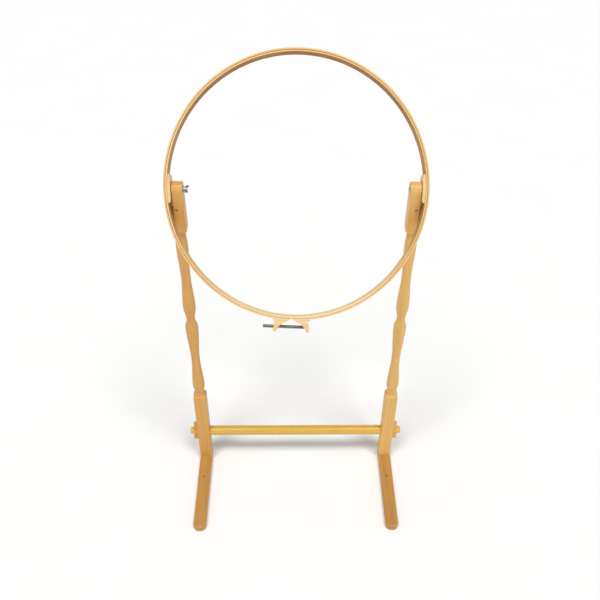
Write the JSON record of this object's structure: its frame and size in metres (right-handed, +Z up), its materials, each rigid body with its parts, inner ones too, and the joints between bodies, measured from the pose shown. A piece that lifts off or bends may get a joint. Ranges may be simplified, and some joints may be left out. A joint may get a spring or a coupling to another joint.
{
  "type": "floor-standing quilting hoop",
  "caption": "Round wooden quilting hoop with a split clamping band, pivoted between two turned posts on low forward feet with a keyed stretcher.",
  "frame": {"origin": "on the floor, midway between the posts and midway between the toes of the feet and the back of the leaning hoop", "axes": "+X to the sitter's right, along the hoop's pivot and the stretcher; -Y towards the sitter, the way the feet point; +Z up"},
  "size_m": [0.611, 0.4389, 1.1734],
  "materials": {
    "post_wood": "satin varnish",
    "foot_wood": "satin varnish",
    "plug_wood": "satin varnish on end grain",
    "stretcher_wood": "glossy varnish",
    "key_wood": "satin varnish",
    "hoop_wood": "satin varnish",
    "bracket_wood": "satin varnish",
    "ear_wood": "satin varnish",
    "steel": "dull zinc-plated",
    "zinc": "zinc-plated"
  },
  "bodies": {
    "stand": {"left_post": "post_wood", "right_post": "post_wood", "left_foot": "foot_wood", "right_foot": "foot_wood", "left_foot_screws": "zinc", "right_foot_screws": "zinc", "left_foot_plug": "plug_wood", "right_foot_plug": "plug_wood", "left_post_pin": "plug_wood", "right_post_pin": "plug_wood", "stretcher": "stretcher_wood", "left_pivot_washer": "zinc", "right_pivot_washer": "zinc", "right_pivot_bolt": "steel"},
    "hoop": {"inner_hoop": "hoop_wood", "left_bracket": "bracket_wood", "right_bracket": "bracket_wood", "left_bracket_screws": "zinc", "right_bracket_screws": "zinc", "left_pivot_bolt": "steel", "right_pivot_nut": "zinc"},
    "wing_nut": {"left_wing_nut": "steel", "left_nut_washer": "zinc"},
    "outer_hoop": {"outer_hoop": "hoop_wood", "left_ear": "ear_wood", "right_ear": "ear_wood", "closure_insert": "steel", "closure_washer": "zinc"},
    "closure_bolt": {"closure_bolt": "steel"},
    "left_key": {"left_key": "key_wood"},
    "right_key": {"right_key": "key_wood"}
  },
  "joints": [
    {"name": "hoop_tilt", "type": "hinge", "parent": "stand", "child": "hoop", "pos_m": [0, 0.049, 0.917], "axis": [-1, 0, 0], "range_deg": [-2.5, 100]},
    {"name": "wing_nut_turn", "type": "hinge", "parent": "hoop", "child": "wing_nut", "pos_m": [-0.244, 0.049, 0.917], "axis": [1, 0, 0], "continuous": true},
    {"name": "outer_hoop_slide", "type": "slide", "parent": "hoop", "child": "outer_hoop", "axis": [0, -0.848, 0.5299], "range_m": [0, 0.08]},
    {"name": "closure_bolt_turn", "type": "hinge", "parent": "outer_hoop", "child": "closure_bolt", "pos_m": [-0.01288, -0.11328, 0.6573], "axis": [0.9991, -0.0222, -0.0355], "continuous": true},
    {"name": "left_key_slide", "type": "slide", "parent": "stand", "child": "left_key", "axis": [0, 0, 1], "range_m": [-0.062, 0]},
    {"name": "right_key_slide", "type": "slide", "parent": "stand", "child": "right_key", "axis": [0, 0, 1], "range_m": [-0.062, 0]}
  ]
}
